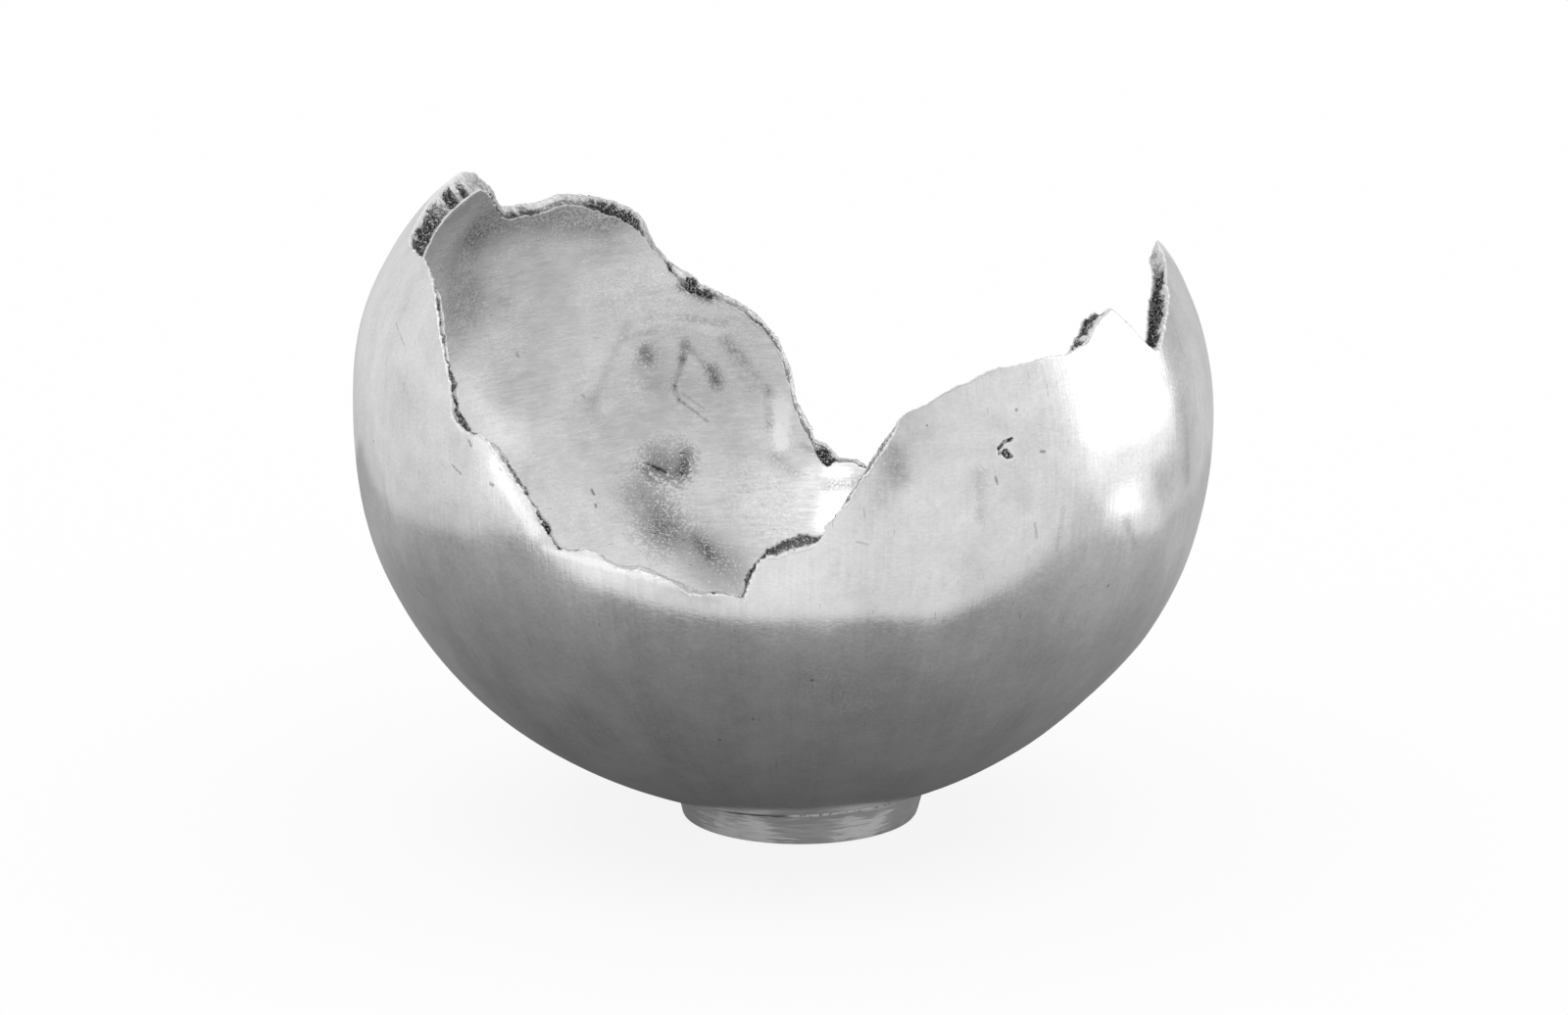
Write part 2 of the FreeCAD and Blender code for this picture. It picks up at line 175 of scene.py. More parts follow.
MARKS_AND_PAINTED_LIGHT_OUT = [
    ((-176, -218, 288), (-151, -235, 249), 7, -0.34, 0.6),
    ((-117, -252, 236), (-64, -269, 226), 3.5, -0.3, 0.5),
    ((-64.1, -269.0, 225.1), (-34.9, -274.0, 223.4), 3, -0.3, 0.5),
    ((-143.7, -238.7, 239.8), (-119.6, -251.1, 235.6), 3, -0.2, 0.5),
    ((65, -270, 306), (69, -271, 291), 10, 0.3, 0.7),
    ((61, -272, 296), (57, -274, 277), 9, 0.14, 0.6),
    ((-54, -271, 224), (-49, -272, 222), 3.5, 0.9, 0.6),
    ((-58, -269, 220), (-41, -272, 216), 4, 0.08, 0.6),
    ((-202.3, -193.6, 280.8), (-196.6, -199.5, 276.6), 0.9, 0.55, 0.2),
    ((-177.6, -216.6, 274.5), (-176.4, -217.6, 274.1), 1.5, 0.6, 0.2),
    ((-171.9, -220.9, 285.2), (-170.6, -221.9, 284.2), 1.1, 0.5, 0.2),
    ((-191.2, -203.5, 298.3), (-189.9, -204.9, 295.5), 1.2, 0.5, 0.2),
    ((-236, -144, 321), (-227, -162, 308), 10, 0.12, 1.4),
    ((-241.8, -114.5, 353.5), (-235.4, -134.4, 343.8), 0.8, 0.26, 0.3),
    ((-236.5, -117.3, 361.5), (-232.8, -116.5, 368.7), 0.7, 0.24, 0.3),
    ((-230.6, -135.2, 188.5), (-226.0, -140.2, 184.7), 1.2, 0.3, 0.4),
    ((-252, -122, 255), (-247, -126, 231), 5, 0.12, 1.2),
    ((126.2, -249.4, 286.4), (127.4, -249.0, 282.1), 1.1, 0.45, 0.3),
    ((153.9, -232.1, 298.1), (156.3, -230.5, 297.7), 1.1, 0.45, 0.2),
    ((150.8, -235.5, 254.1), (152.2, -233.9, 245.3), 1.3, 0.28, 0.8),
    ((117, -254, 290), (117, -254, 262), 4.5, 0.18, 1.4),
    ((168.5, -223.3, 260.3), (164.7, -224.0, 236.1), 2.6, 0.16, 1),
    ((248, -123, 305), (254, -117, 254), 8, 0.2, 0.6),
    ((227, -145, 336), (237, -138, 320), 5, 0.22, 1.4),
    ((210, -183, 243), (217, -172, 225), 5, 0.22, 1.2),
    ((42.9, -276.4, 253.4), (49.9, -275.1, 251.3), 1.0, 0.28, 0.2),
    ((-95, -232, 152), (-84, -225, 135), 30, 0.1, 0.2),
    ((-121, -191, 115), (-152, -85, 64), 34, 0.14, 0.2),
    ((18, -257, 165), (48, -241, 142), 32, 0.12, 0.2),
    ((-75, -214, 116), (-61, -195, 91), 26, 0.1, 0.2),
    ((-39.5, -223.2, 116.1), (-39.0, -222.7, 115.3), 1.2, 0.4, 0.2),
    ((-19.0, -238.9, 133.8), (-18.4, -238.5, 133.0), 1.0, 0.4, 0.2),
]

# a small C-shaped pit in the outside, right of the front: middle, then its strokes (right, up)
PIT_AT = (131.5, -245.0, 302.8)
PIT_STROKES = (((5.6, 5.0), (0.0, 4.0)), ((0.0, 4.0), (-3.9, 0.2)), ((-3.9, 0.2), (-3.8, -2.4)),
               ((-1.4, -2.2), (1.6, -1.2)), ((-1.0, -2.6), (1.8, -5.8)), ((1.8, -5.8), (5.0, -4.8)), ((1.6, -1.2), (3.2, -3.6)))


# ---- noise ----------------------------------------------------------------------
def _hash(i, j, k, seed):
    h = (i * 374761393 + j * 668265263 + k * 1440662683 + seed * 974634777) & 0xFFFFFFFF
    h = ((h ^ (h >> 13)) * 1274126177) & 0xFFFFFFFF
    h = ((h ^ (h >> 15)) * 2246822519) & 0xFFFFFFFF
    return ((h ^ (h >> 16)) & 0xFFFFFF) / 16777215.0


def vnoise(p, lam, seed=0):
    """Smooth value noise from -1 to 1 with cells of lam."""
    q = np.asarray(p, float) / lam + 1000.37
    i = np.floor(q).astype(np.int64)
    f = q - i
    f = f * f * f * (f * (f * 6 - 15) + 10)
    out = 0.0
    for a in (0, 1):
        for b in (0, 1):
            for c in (0, 1):
                w = (f[..., 0] if a else 1 - f[..., 0]) * (f[..., 1] if b else 1 - f[..., 1]) * (f[..., 2] if c else 1 - f[..., 2])
                out = out + w * _hash(i[..., 0] + a, i[..., 1] + b, i[..., 2] + c, seed)
    return out * 2 - 1


def fbm(p, lam, octaves=3, seed=0, gain=0.5):
    out, amp, tot = 0.0, 1.0, 0.0
    for k in range(octaves):
        out = out + amp * vnoise(p, lam / 2 ** k, seed + 17 * k)
        tot += amp
        amp *= gain
    return out / tot


def worley(p, lam, seed=0):
    """Distance to the nearest of one point per cell, in cells, and that cell's number."""
    q = np.asarray(p, float) / lam + 500.0
    i = np.floor(q).astype(np.int64)
    best = np.full(q.shape[:-1], 9.0)
    tag = np.zeros(q.shape[:-1])
    for a in (-1, 0, 1):
        for b in (-1, 0, 1):
            for c in (-1, 0, 1):
                ci, cj, ck = i[..., 0] + a, i[..., 1] + b, i[..., 2] + c
                d = ((ci + _hash(ci, cj, ck, seed) - q[..., 0]) ** 2
                     + (cj + _hash(ci, cj, ck, seed + 1) - q[..., 1]) ** 2
                     + (ck + _hash(ci, cj, ck, seed + 2) - q[..., 2]) ** 2)
                near = d < best
                best = np.where(near, d, best)
                tag = np.where(near, _hash(ci, cj, ck, seed + 3), tag)
    return np.sqrt(best), tag


def sstep(a, b, x):
    t = np.clip((x - a) / (b - a), 0, 1)
    return t * t * (3 - 2 * t)


def cyc(table, az):
    x = np.concatenate([table[:, 0] - 360, table[:, 0], table[:, 0] + 360])
    return np.interp(az, x, np.tile(table[:, 1], 3))


# ---- surface of the shell ---------------------------------------------------------
def form(az, lat, t=0.0):
    a, l = np.radians(az), np.radians(lat)
    x, y, z = np.cos(l) * np.sin(a), -np.cos(l) * np.cos(a), np.sin(l)
    c, s = math.cos(LEAN), math.sin(LEAN)
    xb, zb = x * c - z * s, x * s + z * c
    r = np.hypot(xb, y)
    half = np.where(zb >= 0, UP, LOW) - t
    n = np.where(zb >= 0, N_UP, N_LOW)
    return ((r / (A - t)) ** n + (np.abs(zb) / half) ** n) ** (-1 / n)


def resid(az, lat):
    s = np.sin(np.radians(az))
    return (np.clip(-s, 0, 1) ** 1.5 * np.interp(lat, RES_LAT, RES_L)
            + np.clip(s, 0, 1) ** 1.5 * np.interp(lat, RES_LAT, RES_R))


def point(az, lat, R):
    a, l = np.radians(az), np.radians(lat)
    return np.stack([R * np.cos(l) * np.sin(a), -R * np.cos(l) * np.cos(a), ZC + R * np.sin(l)], -1)


def r_out(az, lat):
    R = form(az, lat) + resid(az, lat)
    p = point(az, lat, R)
    return R + 0.55 * vnoise(p, 150.0, 3) + 0.35 * vnoise(p, 70.0, 5) + 0.10 * vnoise(p, 32.0, 6)


def r_in(az, lat):
    d = np.abs((np.asarray(az) + 98 + 180) % 360 - 180)
    t = WALL + 3.2 * sstep(25, 35, lat) * (1 - sstep(25, 42, d))
    R = form(az, lat, t) + resid(az, lat)
    p = point(az, lat, R)
    return R + 0.9 * vnoise(p, 130.0, 13) + 0.6 * vnoise(p, 62.0, 15) + 0.16 * vnoise(p, 30.0, 16)


def smooth_cyc(v, k):
    """Box blur round a closed loop, k samples each way, twice."""
    for _ in range(2):
        n = 2 * k + 1
        pad = np.concatenate([v[-k:], v, v[:k]], 0)
        cs = np.cumsum(np.concatenate([np.zeros_like(pad[:1]), pad], 0), 0)
        v = (cs[n:] - cs[:-n]) / n
    return v


def build_shell():
    N = 2304
    # columns at even steps along the torn edge
    fine = np.linspace(-180, 180, 72001)[:-1]
    lf = cyc(OUT, fine)
    p = point(fine, lf, form(fine, lf))
    step = np.linalg.norm(np.roll(p, -1, 0) - p, axis=1)
    cum = np.concatenate([[0], np.cumsum(step)])
    az = np.interp(np.arange(N) * cum[-1] / N, cum, np.concatenate([fine, [180.0]]))
    lo, li = cyc(OUT, az), cyc(INN, az)
    pit = cyc(PIT, az)
    # ragged break
    e = point(az, lo, form(az, lo))
    rag = 0.5 + pit
    lo = lo + rag * (0.11 * vnoise(e, 7.0, 21) + 0.12 * vnoise(e, 2.6, 22))
    e = point(az, li, form(az, li, WALL))
    li = li + rag * (0.11 * vnoise(e, 6.0, 23) + 0.13 * vnoise(e, 2.4, 24))
    # the spike's inner corner is worn round
    li = np.where((az > 80) & (az < 95), np.minimum(li, 25.2 - 0.02 * (az - 86) ** 2), li)

    def base_of(l):
        lag = np.radians(6.0)
        out = np.empty(N)
        for i in range(N):
            d = np.abs((az - az[i] + 180) % 360 - 180)
            out[i] = l[d < 6.0].min()
        even = np.linspace(-180, 180, 721)[:-1]
        v = np.interp(even, np.concatenate([az - 360, az, az + 360]), np.tile(out, 3))
        v = smooth_cyc(v, 10)
        return np.interp(az, np.concatenate([even - 360, even, even + 360]), np.tile(v, 3)) - 8.0

    bo, bi = base_of(lo), base_of(li)
    near = [(1, .012), (1, .028), (1, .05), (2, .08), (2, .12), (2, .17), (4, .24), (4, .33), (8, .44), (8, .56), (8, .70), (8, .85), (8, 1.0)]
    rings = []           # (points, torn, cav, inside)

    def skin(lat_fn, radius, inside):
        """Rings from the pole up to just under the rim."""
        out = []
        rows = 58
        for r in range(1, rows):
            v = r / rows
            deg = 90 * v
            k = 128 if deg < 6 else 64 if deg < 12 else 32 if deg < 20 else 16 if deg < 34 else 8
            a = az[::k]
            l = -90 + (lat_fn[1][::k] + 90) * v
            out.append((point(a, l, radius(a, l)), 0 * a, 0 * a, 0 * a + inside))
        for k, w in reversed(near):
            a = az[::k]
            l = (lat_fn[0] + (lat_fn[1] - lat_fn[0]) * w)[::k]
            out.append((point(a, l, radius(a, l)), 0 * a, 0 * a, 0 * a + inside))
        return out

    rings += skin((lo, bo), r_out, 0.0)
    # the torn face
    po = point(az, lo, r_out(az, lo))
    pi = point(az, li, r_in(az, li))
    mid = smooth_cyc((po + pi) / 2, 3)
    tan = np.roll(mid, -2, 0) - np.roll(mid, 2, 0)
    tan /= np.linalg.norm(tan, axis=1)[:, None]
    acr = pi - po
    wid = np.linalg.norm(acr, axis=1)
    acr = acr / wid[:, None]
    up = np.cross(tan, acr)
    up = smooth_cyc(up / np.linalg.norm(up, axis=1)[:, None], 3)
    up /= np.linalg.norm(up, axis=1)[:, None]
    us = [0, .035, .08, .14, .21, .29, .37, .45, .53, .61, .69, .77, .84, .90, .95, .98, 1]
    for u in us:
        q = po + (pi - po) * u
        # lean of the deep part towards the inner lip
        big = vnoise(q, 13.0, 31)
        mid_n = vnoise(q, 5.5, 32)
        lo_u, hi_u = 0.22 + 0.12 * big, 0.93 + 0.03 * mid_n
        shape = sstep(0.03, np.maximum(lo_u + 0.2, 0.1), u) * (1 - sstep(hi_u - 0.10, hi_u + 0.05, u))
        full = np.clip(wid / 12.5, 1, 1.7)
        shape = shape * (0.6 + 0.4 * sstep(0.25, 0.75, u))
        hole = np.clip(0.72 + 0.30 * sstep(0.9, 1.0, pit) + 0.36 * big + 0.50 * mid_n, 0.05, 1.4)
        depth = pit ** 0.8 * shape * hole * 4.2 * full
        f1, _ = worley(q, 3.1, 41)
        f2, _ = worley(q, 1.9, 45)
        crumb = (0.75 - f1) * 2.2 + (0.7 - f2) * 1.7
        inner = sstep(0.0, 0.12, u) * (1 - sstep(0.90, 1.0, u))
        d = depth - crumb * inner * (0.25 + 0.75 * pit) + 0.25 * (1 - inner)
        # soft swell of the smooth stretches
        d = d - 0.5 * (1 - pit) * math.sin(math.pi * u)
        edge = 0.22 * ((u < 0.01) - (u > 0.99) * 1.0)
        q = q - up * d[:, None] + acr * edge
        # cav, how deep the pits go here, darkens the shell material there: partly bare material, partly painted shade
        cav = np.clip((depth - 0.35 - 0.8 * crumb * inner) / 3.2, 0, 1) * inner
        rings.append((q, float(inner) * (0.3 + 0.7 * pit ** 0.6), cav, np.full(N, u)))
    rings += list(reversed(skin((li, bi), r_in, 1.0)))

    poles = [point(np.zeros(1), np.full(1, -90.0), r_out(np.zeros(1), np.full(1, -90.0))),
             point(np.zeros(1), np.full(1, -90.0), r_in(np.zeros(1), np.full(1, -90.0)))]
    start, n = [], 1
    for r in rings:
        start.append(n)
        n += len(r[0])
    co = np.concatenate([poles[0]] + [r[0] for r in rings] + [poles[1]]) / 1000.0
    att = [np.concatenate([[v0]] + [r[k] for r in rings] + [[v1]]) for k, v0, v1 in ((1, 0, 0), (2, 0, 0), (3, 0, 1))]
    tris, quads = [], []
    for s in range(len(rings) - 1):
        a, b = len(rings[s][0]), len(rings[s + 1][0])
        i = np.arange(max(a, b) if a == b else min(a, b))
        j = (i + 1) % len(i)
        sa, sb = start[s], start[s + 1]
        if a == b:
            quads.append(np.stack([sb + i, sa + i, sa + j, sb + j], 1))
        elif a < b:            # coarse below, fine above
            f0, f1, f2 = sb + 2 * i, sb + 2 * i + 1, sb + 2 * j
            tris += [np.stack([f0, sa + i, f1], 1), np.stack([sa + i, sa + j, f1], 1), np.stack([f1, sa + j, f2], 1)]
        else:
            f0, f1, f2 = sa + 2 * i, sa + 2 * i + 1, sa + 2 * j
            tris += [np.stack([sb + i, f0, f1], 1), np.stack([sb + i, f1, sb + j], 1), np.stack([sb + j, f1, f2], 1)]
    for ring, pole, flip in ((0, 0, False), (len(rings) - 1, n, True)):
        m = len(rings[ring][0])
        i = np.arange(m)
        j = (i + 1) % m
        t = np.stack([start[ring] + i, np.full(m, pole), start[ring] + j], 1)
        tris.append(t[:, ::-1] if flip else t)
    faces = [tuple(map(int, f)) for q in quads for f in q] + [tuple(map(int, f)) for t in tris for f in t]
    return co, faces, att


def new_mesh(name, co, faces, attributes=None):
    me = bpy.data.meshes.new(name)
    me.from_pydata([tuple(c) for c in co], [], faces)
    for key, val in (attributes or {}).items():
        at = me.attributes.new(key, "FLOAT", "POINT")
        at.data.foreach_set("value", np.asarray(val, np.float32))
    me.polygons.foreach_set("use_smooth", [True] * len(me.polygons))
    me.validate()
    me.update()
    ob = bpy.data.objects.new(name, me)
    bpy.context.scene.collection.objects.link(ob)
    return ob


# ---- materials -----------------------------------------------------------------------
class Nodes:
    def __init__(self, name):
        self.mat = bpy.data.materials.new(name)
        self.mat.use_nodes = True
        self.t = self.mat.node_tree
        self.t.nodes.clear()
        self.out = self.t.nodes.new("ShaderNodeOutputMaterial")

    def link(self, a, b):
        self.t.links.new(a, b)

    def put(self, sock, v):
        if isinstance(v, bpy.types.NodeSocket):
            self.link(v, sock)
        else:
            sock.default_value = v

    def math(self, op, a, b=0.0, c=0.0, clamp=False):
        n = self.t.nodes.new("ShaderNodeMath")
        n.operation = op
        n.use_clamp = clamp
        for s, v in zip(n.inputs, (a, b, c)):
            self.put(s, v)
        return n.outputs[0]

    def vmath(self, op, a, b=None, scale=None):
        n = self.t.nodes.new("ShaderNodeVectorMath")
        n.operation = op
        self.put(n.inputs[0], a)
        if b is not None:
            self.put(n.inputs[1], b)
        if scale is not None:
            self.put(n.inputs["Scale"], scale)
        return n.outputs["Value"] if op in ("LENGTH", "DOT_PRODUCT", "DISTANCE") else n.outputs[0]

    def vadd(self, a, b):
        return self.vmath("ADD", a, b)

    def comb(self, x, y, z):
        n = self.t.nodes.new("ShaderNodeCombineXYZ")
        for s, v in zip(n.inputs, (x, y, z)):
            self.put(s, v)
        return n.outputs[0]

    def sep(self, v):
        n = self.t.nodes.new("ShaderNodeSeparateXYZ")
        self.link(v, n.inputs[0])
        return n.outputs

    def noise(self, vec, scale, detail=2.0, rough=0.5, distortion=0.0):
        n = self.t.nodes.new("ShaderNodeTexNoise")
        self.link(vec, n.inputs["Vector"])
        n.inputs["Scale"].default_value = scale
        n.inputs["Detail"].default_value = detail
        n.inputs["Roughness"].default_value = rough
        n.inputs["Distortion"].default_value = distortion
        return n.outputs["Fac"]

    def voronoi(self, vec, scale, feature="F1", rand=1.0):
        n = self.t.nodes.new("ShaderNodeTexVoronoi")
        n.feature = feature
        self.link(vec, n.inputs["Vector"])
        n.inputs["Scale"].default_value = scale
        n.inputs["Randomness"].default_value = rand
        return n.outputs

    def ramp(self, v, lo, hi, a=0.0, b=1.0, smooth=True):
        n = self.t.nodes.new("ShaderNodeMapRange")
        n.interpolation_type = "SMOOTHSTEP" if smooth else "LINEAR"
        for s, x in zip(n.inputs, (v, lo, hi, a, b)):
            self.put(s, x)
        return n.outputs[0]

    def mix(self, f, a, b):
        n = self.t.nodes.new("ShaderNodeMix")
        n.data_type = "RGBA"
        self.put(n.inputs[0], f)
        self.put(n.inputs[6], a)
        self.put(n.inputs[7], b)
        return n.outputs[2]

    def attr(self, name):
        n = self.t.nodes.new("ShaderNodeAttribute")
        n.attribute_name = name
        return n.outputs["Fac"]

    def mm(self):
        n = self.t.nodes.new("ShaderNodeTexCoord")
        return self.vmath("SCALE", n.outputs["Object"], scale=1000.0)

    def grey(self, v):
        n = self.t.nodes.new("ShaderNodeCombineColor")
        for s in n.inputs:
            self.put(s, v)
        return n.outputs[0]

    def bump(self, height, dist, strength=1.0, normal=None):
        n = self.t.nodes.new("ShaderNodeBump")
        n.inputs["Strength"].default_value = strength
        n.inputs["Distance"].default_value = dist
        self.link(height, n.inputs["Height"])
        if normal is not None:
            self.link(normal, n.inputs["Normal"])
        return n.outputs[0]

    def principled(self, color, rough, metallic, normal=None, **fixed):
        n = self.t.nodes.new("ShaderNodeBsdfPrincipled")
        self.put(n.inputs["Base Color"], color)
        self.put(n.inputs["Roughness"], rough)
        self.put(n.inputs["Metallic"], metallic)
        if normal is not None:
            self.link(normal, n.inputs["Normal"])
        for k, v in fixed.items():
            n.inputs[k].default_value = v
        self.link(n.outputs[0], self.out.inputs[0])
        return self.mat


def stroke(m, P, a, b, rad, level, strength, total):
    """Adds a soft stroke from a to b to the running total; level already carries the noise."""
    a, b = np.array(a, float), np.array(b, float)
    ab = b - a
    if np.dot(ab, ab) < max(1.0, 0.3 * rad * rad):
        d = m.vmath("DISTANCE", P, tuple((a + b) / 2))
    else:
        q = m.vmath("SUBTRACT", P, tuple(a))
        h = m.vmath("DOT_PRODUCT", q, tuple(ab / float(np.dot(ab, ab))))
        h = m.math("MAXIMUM", m.math("MINIMUM", h, 1.0), 0.0)
        d = m.vmath("DISTANCE", q, m.vmath("SCALE", tuple(ab), scale=h))
    v = m.math("MULTIPLY_ADD", d, -1.0 / (0.9 * rad), level)
    v = m.math("MINIMUM", m.math("MAXIMUM", v, 0.0), 1.0)
    if rad > 3:
        v = m.math("MULTIPLY", v, v)
    return m.math("MULTIPLY_ADD", v, strength, total)


def silver_shell():
    m = Nodes("silver_leaf_shell")
    P = m.mm()
    x, y, z = m.sep(P)
    inside, torn, cav = m.attr("inside"), m.attr("torn"), m.attr("cav")
    r = m.math("MAXIMUM", m.math("SQRT", m.math("ADD", m.math("MULTIPLY", x, x), m.math("MULTIPLY", y, y))), 1.0)
    k = m.math("DIVIDE", 280.0, r)
    isin = m.ramp(inside, 0.45, 0.55)
    isout = m.math("SUBTRACT", 1.0, isin)
    # fine brushing: mostly up and down outside, mostly round and round inside
    cx, cy = m.math("MULTIPLY", x, k), m.math("MULTIPLY", y, k)
    lat = m.math("MULTIPLY", m.math("ARCTAN2", m.math("SUBTRACT", z, ZC), r), 250.0)
    vert = m.comb(cx, cy, m.math("MULTIPLY", z, 0.06))
    ring = m.comb(m.math("MULTIPLY", x, 0.09), m.math("MULTIPLY", y, 0.09), lat)
    along = m.vadd(m.vmath("SCALE", vert, scale=isout), m.vmath("SCALE", ring, scale=isin))
    brushed = m.math("SUBTRACT", m.noise(along, 0.42, 3.0, 0.65), 0.5)
    patch = m.ramp(m.noise(P, 0.022, 2.0, 0.5), 0.35, 0.70, 0.35, 1.5)
    streak = m.math("MULTIPLY", brushed, patch)
    # leaf laid on unevenly: cloudy, then finer
    cloud = m.math("SUBTRACT", m.noise(P, 0.020, 3.0, 0.55), 0.5)
    mott = m.math("SUBTRACT", m.noise(P, 0.075, 3.0, 0.6), 0.5)
    drawn = m.math("MULTIPLY_ADD", isin, -0.31, 0.45)
    flat = m.comb(m.math("MULTIPLY", cx, drawn), m.math("MULTIPLY", cy, drawn), lat)
    fine = m.math("SUBTRACT", m.noise(flat, 0.62, 2.0, 0.75), 0.5)
    grey = m.math("ADD", 0.82, m.math("MULTIPLY", isin, 0.02))
    grey = m.math("ADD", grey, m.math("MULTIPLY", cloud, 0.34))
    grey = m.math("ADD", grey, m.math("MULTIPLY", mott, 0.22))
    zone = m.math("SUBTRACT", m.noise(m.comb(cx, cy, m.math("MULTIPLY", z, 0.22)), 0.017, 2.0, 0.5), 0.5)
    grey = m.math("ADD", grey, m.math("MULTIPLY", zone, m.math("MULTIPLY", isout, 0.32)))
    grey = m.math("ADD", grey, m.math("MULTIPLY", streak, m.math("MULTIPLY_ADD", isin, 0.10, 0.16)))
    grey = m.math("ADD", grey, m.math("MULTIPLY", fine, m.math("MULTIPLY_ADD", isin, 0.06, 0.24)))
    # tarnish marks, with painted shade in the broad faint strokes and painted highlights where the strength is
    # negative
    speck_n = m.math("SUBTRACT", m.noise(P, 0.50, 2.0, 0.7), 0.5)
    level = {g: m.math("MULTIPLY_ADD", speck_n, -4.5 * g, 1.39) for g in (0.2, 0.6, 1.0, 1.4)}
    tots = []
    for group in (MARKS_AND_PAINTED_LIGHT_IN, MARKS_AND_PAINTED_LIGHT_OUT):
        tot = 0.0
        for a, b, rad, strength, gr in group:
            tot = stroke(m, P, a, b, rad, level[min(level, key=lambda g: abs(g - gr))], strength, tot)
        tots.append(tot)
    marks = m.math("ADD", m.math("MULTIPLY", tots[0], isin), m.math("MULTIPLY", tots[1], isout))
    marks = m.math("MINIMUM", m.math("MULTIPLY", marks, m.math("ADD", 1.0, m.math("MULTIPLY", speck_n, 4.0))), 1.0)
    marks = m.math("MAXIMUM", marks, -0.3)
    # scattered pinholes and short scratches
    vor = m.voronoi(P, 0.055)
    pick = m.math("GREATER_THAN", m.sep(vor["Color"])[0], 0.55)
    size = m.math("MULTIPLY", m.sep(vor["Color"])[1], 0.05)
    pin = m.math("MULTIPLY", m.math("LESS_THAN", vor["Distance"], m.math("ADD", 0.012, size)), pick)
    scr = m.vadd(m.vmath("SCALE", m.comb(cx, cy, m.math("MULTIPLY", z, 0.13)), scale=isout),
                 m.vmath("SCALE", m.comb(m.math("MULTIPLY", x, 0.12), m.math("MULTIPLY", y, 0.12), m.math("ADD", lat, m.math("MULTIPLY", x, 0.15))), scale=isin))
    scratch = m.ramp(m.noise(scr, 0.85, 1.0, 0.5), 0.745, 0.80)
    wear = m.math("ADD", m.math("MULTIPLY", pin, 0.45), m.math("MULTIPLY", scratch, 0.35), clamp=True)
    skin_k = m.math("SUBTRACT", 1.0, m.math("MINIMUM", m.math("ADD", marks, wear), 0.95))
    grey = m.math("MULTIPLY", grey, skin_k)
    # torn face: dark hollows between silver crumbs, partly bare dark material under the leaf and partly painted shade
    # that deepens with the pits (cav)
    n1 = m.math("SUBTRACT", m.noise(P, 0.50, 4.0, 0.85), 0.5)
    n2 = m.math("SUBTRACT", m.noise(P, 1.15, 2.0, 0.6), 0.5)
    n3 = m.math("SUBTRACT", m.noise(P, 0.20, 2.0, 0.6), 0.5)
    across = m.math("MULTIPLY_ADD", n3, 1.5, m.math("MULTIPLY_ADD", n1, 0.7, inside))
    deep = m.math("MULTIPLY", m.ramp(across, 0.14, 0.28, 0.12, 1.0), torn)
    hollow = m.math("MULTIPLY_ADD", n3, 1.6, m.math("MULTIPLY_ADD", n1, 3.6, m.math("MULTIPLY_ADD", n2, 3.0, 0.0)))
    hollow = m.math("MULTIPLY_ADD", cav, 1.6, hollow)
    hollow = m.math("ADD", hollow, m.ramp(across, 0.42, 0.66, 0.0, 0.34))
    crumb = m.ramp(m.math("MULTIPLY_ADD", n1, 0.7, n2), 0.05, 0.13)
    # painted shade in the pits together with the bare material: darker where cav is deeper
    dark = m.math("MULTIPLY", m.ramp(hollow, 0.12, 0.38), m.math("MULTIPLY_ADD", crumb, -0.58, 1.0))
    dark = m.math("MULTIPLY", dark, deep)
    tone = m.math("MULTIPLY_ADD", n2, 1.8, m.math("MULTIPLY_ADD", n1, 1.6, m.math("MULTIPLY_ADD", n3, 1.0, 0.12)))
    grey = m.math("MULTIPLY", grey, m.math("ADD", 1.0, m.math("MULTIPLY", torn, tone)))
    # painted highlight along the knife-thin lips: a lighter colour, and less metal below, so they read white under the
    # even light
    lip = m.math("MULTIPLY", m.ramp(inside, 0.87, 0.95), m.ramp(inside, 0.992, 0.9999, 1.0, 0.0))
    outer_lip_highlight = m.math("MULTIPLY", m.ramp(inside, 0.002, 0.02), m.ramp(inside, 0.08, 0.15, 1.0, 0.0))
    lip = m.math("MULTIPLY", m.math("MULTIPLY_ADD", outer_lip_highlight, 0.9, lip), m.ramp(n1, -0.14, 0.02))
    grey = m.math("MULTIPLY", grey, m.math("SUBTRACT", 1.0, m.math("MULTIPLY", dark, 0.97)))
    grey = m.math("MINIMUM", m.math("MULTIPLY_ADD", lip, 0.30, grey), 1.0)
    col = m.grey(grey)
    rough = m.math("ADD", 0.175, m.math("MULTIPLY", isin, 0.075))
    rough = m.math("ADD", rough, m.math("MULTIPLY", fine, 0.16))
    rough = m.math("ADD", rough, m.math("MULTIPLY", cloud, 0.12))
    rough = m.math("ADD", rough, m.math("MULTIPLY", m.math("MAXIMUM", marks, 0.0), 0.2))
    rough = m.math("ADD", rough, m.math("MULTIPLY", torn, 0.12))
    rough = m.math("ADD", rough, m.math("MULTIPLY", dark, 0.35), clamp=True)
    shine = stroke(m, P, (40, 246, 177), (22, 224, 134), 34, 1.39, 1.0, 0.0)
    rough = m.math("MULTIPLY", rough, m.math("SUBTRACT", 1.0, m.math("MULTIPLY", shine, 0.55)))
    metal = m.math("SUBTRACT", 1.0, m.math("MULTIPLY", isin, 0.16))
    # painted highlight on the lips: metal taken away so the lighter colour shows white
    metal = m.math("MULTIPLY", metal, m.math("MULTIPLY_ADD", lip, -0.85, 1.0))
    h = m.math("ADD", m.math("MULTIPLY", brushed, m.math("MULTIPLY_ADD", isin, -0.1, 0.6)), m.math("MULTIPLY", fine, m.math("MULTIPLY_ADD", isin, -0.20, 0.32)))
    h = m.math("ADD", h, m.math("MULTIPLY", m.math("MULTIPLY", torn, m.noise(P, 0.6, 4.0, 0.8)), 7.0))
    nrm = m.bump(h, 0.00010)
    return m.principled(col, rough, metal, nrm)


